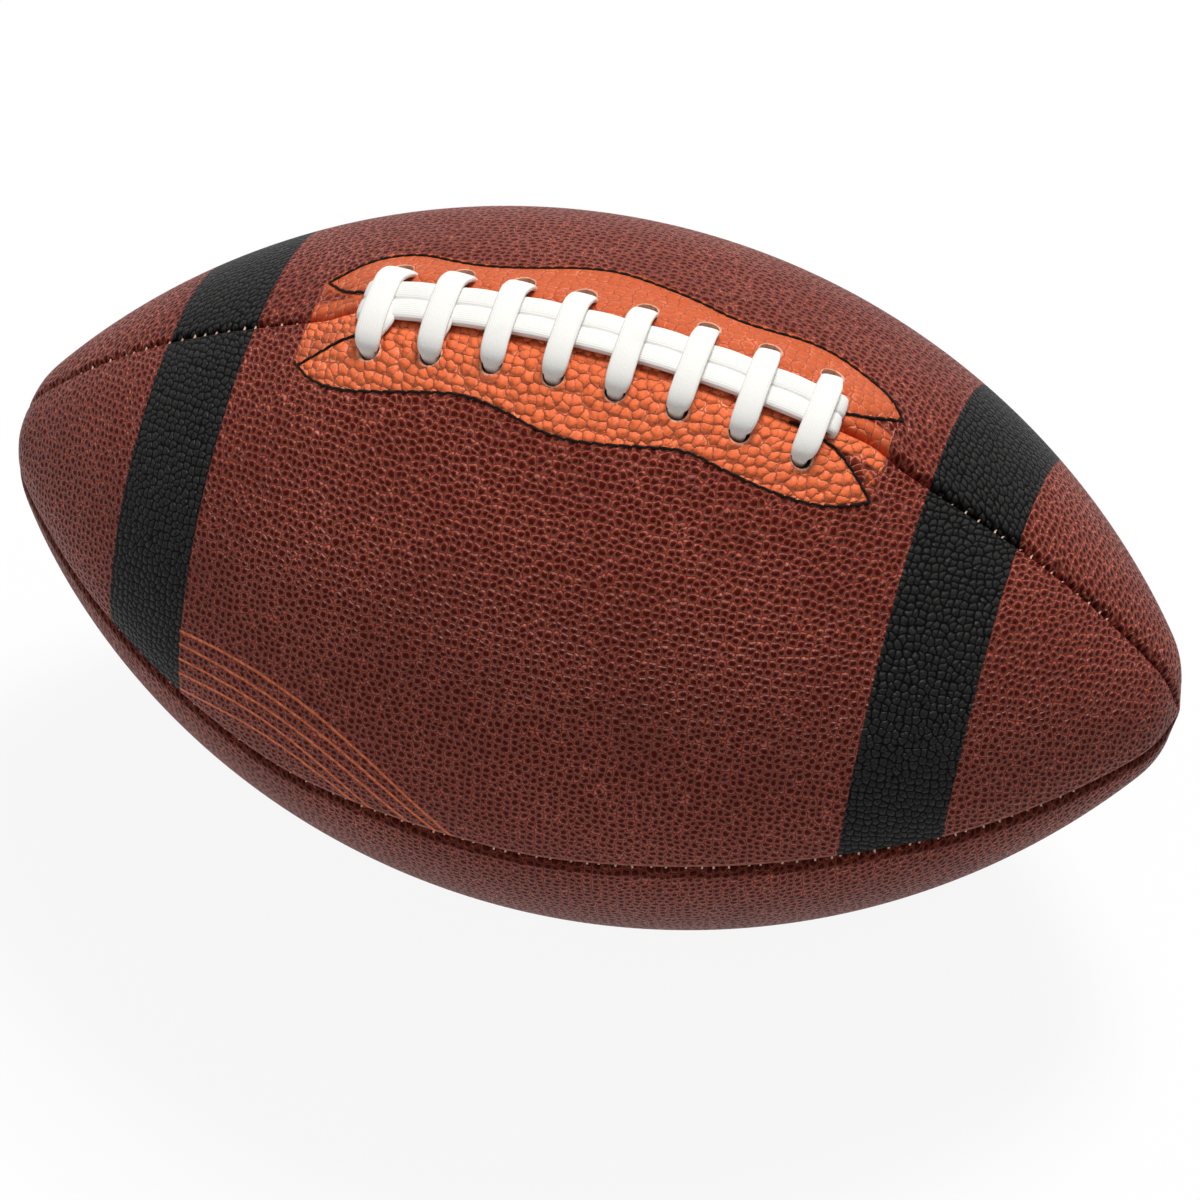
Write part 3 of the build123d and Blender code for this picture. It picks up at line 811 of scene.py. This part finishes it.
# Seam stitches: one row of tan thread along each seam, sewn from the inside, so that only a short bar
# of each stitch shows down between the two shoulders.
STITCH_PITCH = 3.7 * MM
STITCH_RADIUS = 0.18 * MM
STITCH_FLAT = 1.35
STITCH_REACH = 0.9 * MM
STITCH_SAG = 0.25 * MM
STITCH_SLANT = 0.30 * MM
STITCH_STRAY = 0.9 * MM
STITCH_SINK = 0.2
STITCHED_HALF = 140 * MM
UNSEWN_HALF = 72 * MM
STITCH_SEED = 11
BAR_POINTS = 9
BAR_SIDES = 8
LONG_AXIS = (1.0, 0.0, 0.0)
STITCH_TAN = (0.78, 0.52, 0.40, 1)
STITCH_SHADE = (0.55, 0.32, 0.24, 1)
SEAMS = (
    ("top", 0, 1.4, 2.0, 0), ("front", -pi / 2, 1.3, 1.3, 1), ("bottom", pi, 1.4, 1.4, 0),
    ("back", pi / 2, 1.4, 1.4, 0),
)


def sweep(path, side, half_width, half_height, around, squareness=2.0):
    """Closed bar along a path: points, faces and grain. Its section is an oval, and squarer for a
    larger squareness."""
    side = np.broadcast_to(side, path.shape)
    half_width = np.broadcast_to(half_width, len(path))[:, None]
    half_height = np.broadcast_to(half_height, len(path))[:, None]
    side = side / np.linalg.norm(side, axis=1, keepdims=True)
    up = np.cross(side, np.gradient(path, axis=0))
    up /= np.linalg.norm(up, axis=1, keepdims=True)
    turn = np.arange(around) * 2 * pi / around
    flat = np.sign(np.cos(turn)) * np.abs(np.cos(turn)) ** (2 / squareness)
    tall = np.sign(np.sin(turn)) * np.abs(np.sin(turn)) ** (2 / squareness)
    rings = path[:, None] + side[:, None] * (half_width * flat)[..., None]
    rings = rings + up[:, None] * (half_height * tall)[..., None]
    index = np.arange(len(path) * around).reshape(len(path), around)
    after = np.roll(index, -1, axis=1)
    quads = np.stack([index[:-1], index[1:], after[1:], after[:-1]], axis=-1).reshape(-1, 4)
    ends = [index[0].tolist(), index[-1][::-1].tolist()]
    run = run_of(path)[:, None]
    grain = np.stack(np.broadcast_arrays(half_width * flat, run), axis=-1) / MM
    return rings.reshape(-1, 3), quads.tolist() + ends, grain.reshape(-1, 2)


def joined_mesh(name, bars):
    """One mesh of many separate closed bars."""
    points = []
    faces = []
    grain = []
    for bar_points, bar_faces, bar_grain in bars:
        first = len(points)
        points.extend(bar_points.tolist())
        faces.extend([[first + corner for corner in face] for face in bar_faces])
        grain.extend(bar_grain.tolist())
    return sheet_mesh(name, points, faces, np.array(grain))


def stitch_bar(along, angle, sunk, slant):
    """One stitch across a seam, sagging into it."""
    share = np.linspace(-1, 1, BAR_POINTS)
    angles = angle + share * STITCH_REACH / meridian(np.array(along))[1]
    path = on_ball(along + slant * share, angles, -sunk - STITCH_SAG * (1 - share**2))
    return sweep(path, LONG_AXIS, STITCH_RADIUS * STITCH_FLAT, STITCH_RADIUS, BAR_SIDES)


tan_thread = mottled("tan_thread", STITCH_SHADE, STITCH_TAN,
                     size=0.5 * MM, detail=3, depth=0.1 * MM, Roughness=0.7)
for number, (seam, seam_angle, sunk_left, sunk_right, bent) in enumerate(SEAMS):
    uneven = np.random.default_rng(STITCH_SEED + number)
    bars = []
    for along in np.arange(-STITCHED_HALF, STITCHED_HALF, STITCH_PITCH):
        shift, lean = uneven.uniform(-1, 1, 2)
        along = along + shift * STITCH_STRAY
        if seam == "top" and abs(along) < UNSEWN_HALF:
            continue
        angle = seam_angle + bent * seam_shift(along) / meridian(np.array(along))[1]
        sunk = ((sunk_left if along < 0 else sunk_right) + STITCH_SINK * lean) * MM
        bars.append(stitch_bar(along, angle, sunk, STITCH_SLANT * (1 + lean)))
    name = seam + "_seam_stitches"
    place_piece(name, joined_mesh(name, bars), (tan_thread,), seam + "_seam_thread")


# Facing stitches: black lockstitch round each lace facing, pulled down into the cover, so that every
# stitch is a short bar that dips at both ends and stands a little askew.
OUTLINE_PITCH = 3.0 * MM
OUTLINE_RADIUS = 0.34 * MM
OUTLINE_ASKEW = 0.14 * MM
OUTLINE_OVERLAP = 1.04
OUTLINE_PROUD = 0.75
OUTLINE_DIVE = 6.4
OUTLINE_TAPER = 0.35
THREAD_BLACK = (0.006, 0.0055, 0.0055, 1)
THREAD_GREY = (0.012, 0.011, 0.010, 1)

black_thread = mottled("black_thread", THREAD_BLACK, THREAD_GREY, size=0.4 * MM, detail=3,
                       depth=0.08 * MM, Roughness=0.7, Specular_IOR_Level=0.08)
share = np.linspace(-0.5, 0.5, BAR_POINTS)
height = -GROOVE + OUTLINE_RADIUS * (OUTLINE_PROUD - OUTLINE_DIVE * np.abs(share) ** 3)
girth = OUTLINE_RADIUS * (1 - OUTLINE_TAPER * (2 * np.abs(share)) ** 4)
for facing, sign, outline in (("front", -1, front_line), ("back", 1, back_line)):
    run = run_of(outline)
    count = round(run[-1] / OUTLINE_PITCH)
    bars = []
    for number in range(count):
        places = (number + 0.5 + share * OUTLINE_OVERLAP) * run[-1] / count
        along = np.interp(places, run, outline[:, 0])
        arc = sign * (np.interp(places, run, outline[:, 1]) + OUTLINE_ASKEW * share * 2)
        path = on_cover(along, arc, height)
        out = on_cover(along, arc, height + MM) - path
        side = np.cross(np.gradient(path, axis=0), out)
        bars.append(sweep(path, side, girth, girth, BAR_SIDES))
    name = facing + "_facing_stitches"
    node = facing + "_facing_stitch"
    place_piece(name, joined_mesh(name, bars), (black_thread,), node)


# Lace: one flat white lace of coated cord. It lies twice along the slit, dives in at both ends, and
# crosses over eight times, folded narrow where it goes down into each hole.
LACE_SEED = 5
LACE_SIDES = 24
LACE_SQUARE = 3.2
LACE_STEP = 0.35 * MM
LACE_HALF = 0.85 * MM
CROSS_HALF = 3.0 * MM
CROSS_UNEVEN = 0.02
FOLDED_HALF = 1.9 * MM
FOLDED_HEIGHT = 1.2 * MM
FOLD_REACH = 3.6 * MM
FRONT_TAIL = 0.2 * MM
BACK_FROM = 5 * MM
BACK_FADE = 4.5 * MM
BACK_WIDER = (0.35 * MM, -0.50 * MM)
BACK_HOOK = (0.9 * MM, -0.1 * MM)
UNDER_STEP = 0.5 * MM
UNDER_HALF = 1.7 * MM
UNDER_HEIGHT = 0.7 * MM
UNDER_ASIDE = 0.7 * MM
UNDER_STRAY = 1.9 * MM
UNDER_FROM = -10 * MM
UNDER_FADE = 6 * MM
RUN_SIDE = (0.0, 1.0, 0.0)
RUN_SQUARE = 3.0
RUN_STEP = 0.7 * MM
RUN_HALF = 2.75 * MM
RUN_HEIGHT = 1.1 * MM
RUN_OFFSET = 2.45 * MM
RUN_RISE = 0.12 * MM
RUN_SQUEEZE = 0.03
RUNS_BACK = 1.3 * MM
CROSS_CORNERS = (
    (-10.8, -3.6), (-11.1, 0.5), (-9.6, 2.1), (-5.4, 3.3), (0.5, 3.6), (5.6, 3.5), (7.6, 2.9),
    (9.3, 1.9), (10.7, 0.5), (11.2, -0.9), (11.2, -3.6),
)
UNDER_CORNERS = ((-10.0, -3.0), (-10.0, 0.4), (-7.8, 1.1), (-4.2, 1.9), (0, 1.9))
RUN_CORNERS = (
    (-53.4, -2.5), (-54.1, 1.1), (-51.8, 1.6), (-47, 1.2), (47, 1.2), (51.8, 1.6), (54.1, 1.1),
    (53.4, -2.5),
)
LACE_WHITE = (0.79, 0.78, 0.745, 1)
LACE_GRIME_AND_SHADE = (0.66, 0.63, 0.57, 1)
LACE_RIB = 0.55
LACE_FIBRE = 0.6 * MM
LACE_GRIME = 7 * MM
LACE_RELIEF = 0.08 * MM
GRIME_EDGE = (0.60, 0.85)
GRIME_SHARE = 0.4
FURROW_EDGE = (0.2, -1.0)
FURROW_SHARE = 0.12
FIBRE_HEIGHT = 0.6
RIB_HEIGHT = 0.25

lace_white, shader, place = new_finish("coated_lace", Specular_IOR_Level=0.2)
grime = place.noise(LACE_GRIME, 4).step(*GRIME_EDGE)
fibre = place.noise(LACE_FIBRE, 3)
across = place.node("ShaderNodeUVMap", {"uv_map": "grain"}, {}).parts()[0]
ribs = (across * (2 * pi / LACE_RIB)).math("SINE")
# The lace is darker in random patches of grime, and in the furrows between its ribs as painted shade.
grime_and_shade = grime * GRIME_SHARE + ribs.step(*FURROW_EDGE) * FURROW_SHARE
colour = grime_and_shade.mix(LACE_WHITE, LACE_GRIME_AND_SHADE)
relief = (fibre * FIBRE_HEIGHT + ribs * RIB_HEIGHT).bump(LACE_RELIEF)
place.plug(shader, {"Base Color": colour, "Roughness": fibre * 0.2 + 0.45, "Normal": relief})


def lace_band(line, along, half_width, half_height):
    """One stretch of lace over the cover, from its places across the slit and heights."""
    path = on_cover(along, *line.T)
    return sweep(path, LONG_AXIS, half_width, half_height, LACE_SIDES, LACE_SQUARE)


cross_line = even_line(smooth_line(CROSS_CORNERS), LACE_STEP)
under_line = even_line(smooth_line(UNDER_CORNERS), UNDER_STEP)
run_line = even_line(smooth_line(RUN_CORNERS), RUN_STEP)
arc, height = cross_line.T
run = np.arange(len(cross_line)) * LACE_STEP
unfolded = np.clip((run - run[np.argmax(height > 0)]) / FOLD_REACH, 0, 1)
unfolded = np.sqrt(1 - (1 - unfolded) ** 2)
to_back = ease((arc - BACK_FROM) / BACK_FADE)
from_front = ease((under_line[:, 0] - UNDER_FROM) / UNDER_FADE)
half_height = FOLDED_HEIGHT + (LACE_HALF - FOLDED_HEIGHT) * unfolded
bars = []
uneven = np.random.default_rng(LACE_SEED)
for number, along in enumerate(cross_alongs):
    lean, wide = uneven.uniform(-1, 1, 2)
    rightward = number / (CROSS_COUNT - 1)
    half_width = FOLDED_HALF + (CROSS_HALF * (1 + CROSS_UNEVEN * wide) - FOLDED_HALF) * unfolded
    half_width = half_width + np.interp(rightward, (0, 1), BACK_WIDER) * to_back
    hook = np.interp(rightward, (0, 1), BACK_HOOK) * to_back
    places = along + hook - FRONT_TAIL * (1 - unfolded) + CROSS_UNEVEN * lean * arc
    bars.append(lace_band(cross_line, places, half_width, half_height))
    aside = (UNDER_ASIDE + UNDER_STRAY * (1 - rightward) ** 6) * from_front
    bars.append(lace_band(under_line, along + aside, UNDER_HALF, UNDER_HEIGHT))
along, height = run_line.T
squeeze = np.cos(2 * pi * along / CROSS_PITCH)
for sign in (-1, 1):
    arc = RUNS_BACK + sign * RUN_OFFSET
    path = on_cover(along_of(along + LACED_MIDDLE), arc, height + RUN_RISE * squeeze)
    half_width = RUN_HALF * (1 + RUN_SQUEEZE * squeeze)
    bars.append(sweep(path, RUN_SIDE, half_width, RUN_HEIGHT, LACE_SIDES, RUN_SQUARE))
place_piece("white_lace", joined_mesh("white_lace", bars), (lace_white,), "lace")


# Studio: a pale floor under the ball, a soft box above and behind it, a weak fill in front and an
# even pale room. The camera stands where the photographer's did.
FLOOR_REACH = 7.0
FLOOR_SHADE = (0.86, 0.86, 0.86, 1)
FLOOR_GLOW = 0.90
WHITE = (1, 1, 1, 1)
ROOM_LIGHT = 0.28
CAMERA_FROM = Vector((0.34425, -1.09665, 1.55415))
CAMERA_TO = Vector((0.00307, -0.00541, -0.00450))
CAMERA_ROLL = radians(-0.261)
CAMERA_LENS = 250.6
CAMERA_SENSOR = 36.0
CAMERA_FAR = 100.0


def seen_rays(start):
    """1 for the rays that show the room itself: the camera's, and those of gloss and glass."""
    camera, gloss, glass = [start.node("ShaderNodeLightPath", {}, {}, name) for name in
                            ("Is Camera Ray", "Is Glossy Ray", "Is Transmission Ray")]
    return camera.math("MAXIMUM", gloss).math("MAXIMUM", glass)


floor_mesh = bpy.data.meshes.new("floor")
low = float(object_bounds()[0][2])
corners = [(x * FLOOR_REACH, y * FLOOR_REACH, low) for x, y in ((-1, -1), (1, -1), (1, 1), (-1, 1))]
floor_mesh.from_pydata(corners, [], [(0, 1, 2, 3)])
floor_paper = bpy.data.materials.new("floor_paper")
floor_paper.use_nodes = True
start = Signal(floor_paper.node_tree)
shader = floor_paper.node_tree.nodes["Principled BSDF"]
start.plug(shader, {"Base Color": FLOOR_SHADE, "Roughness": 0.9})
lit = Signal(start.tree, shader.outputs[0])
glow = start.node("ShaderNodeEmission", {}, {"Color": WHITE, "Strength": 1.0})
paper = {0: seen_rays(start) * FLOOR_GLOW, 1: lit, 2: glow}
paper = start.node("ShaderNodeMixShader", {}, paper)
start.plug(floor_paper.node_tree.nodes["Material Output"], {"Surface": paper})
floor_mesh.materials.append(floor_paper)
floor = bpy.data.objects.new("floor", floor_mesh)
bpy.context.scene.collection.objects.link(floor)


def soft_box(name, place, size, power):
    """A square lamp that faces the ball."""
    lamp = bpy.data.lights.new(name, "AREA")
    lamp.shape = "SQUARE"
    lamp.size = size
    lamp.energy = power
    box = bpy.data.objects.new(name, lamp)
    box.location = place
    box.rotation_euler = (-Vector(place)).to_track_quat("-Z", "Y").to_euler()
    bpy.context.scene.collection.objects.link(box)


soft_box("overhead_box", place=(0.15, 0.85, 1.5), size=0.55, power=31.5)
soft_box("front_fill", place=(-0.9, -1.5, 1.0), size=1.2, power=5)

world = bpy.data.worlds.new("studio")
bpy.context.scene.world = world
world.use_nodes = True
start = Signal(world.node_tree)
room = seen_rays(start) * (1 - ROOM_LIGHT) + ROOM_LIGHT
start.plug(world.node_tree.nodes["Background"], {"Color": WHITE, "Strength": room})

back = (CAMERA_FROM - CAMERA_TO).normalized()
level = Vector((0, 0, 1)).cross(back).normalized()
upright = back.cross(level)
right = level * cos(CAMERA_ROLL) + upright * sin(CAMERA_ROLL)
up = back.cross(right)
camera_data = bpy.data.cameras.new("camera")
camera_data.lens = CAMERA_LENS
camera_data.sensor_width = CAMERA_SENSOR
camera_data.clip_end = CAMERA_FAR
camera = bpy.data.objects.new("camera", camera_data)
camera.matrix_world = Matrix((
    (right.x, up.x, back.x, CAMERA_FROM.x),
    (right.y, up.y, back.y, CAMERA_FROM.y),
    (right.z, up.z, back.z, CAMERA_FROM.z),
    (0, 0, 0, 1),
))
bpy.context.scene.collection.objects.link(camera)
bpy.context.scene.camera = camera
bpy.context.scene.view_settings.view_transform = "Standard"
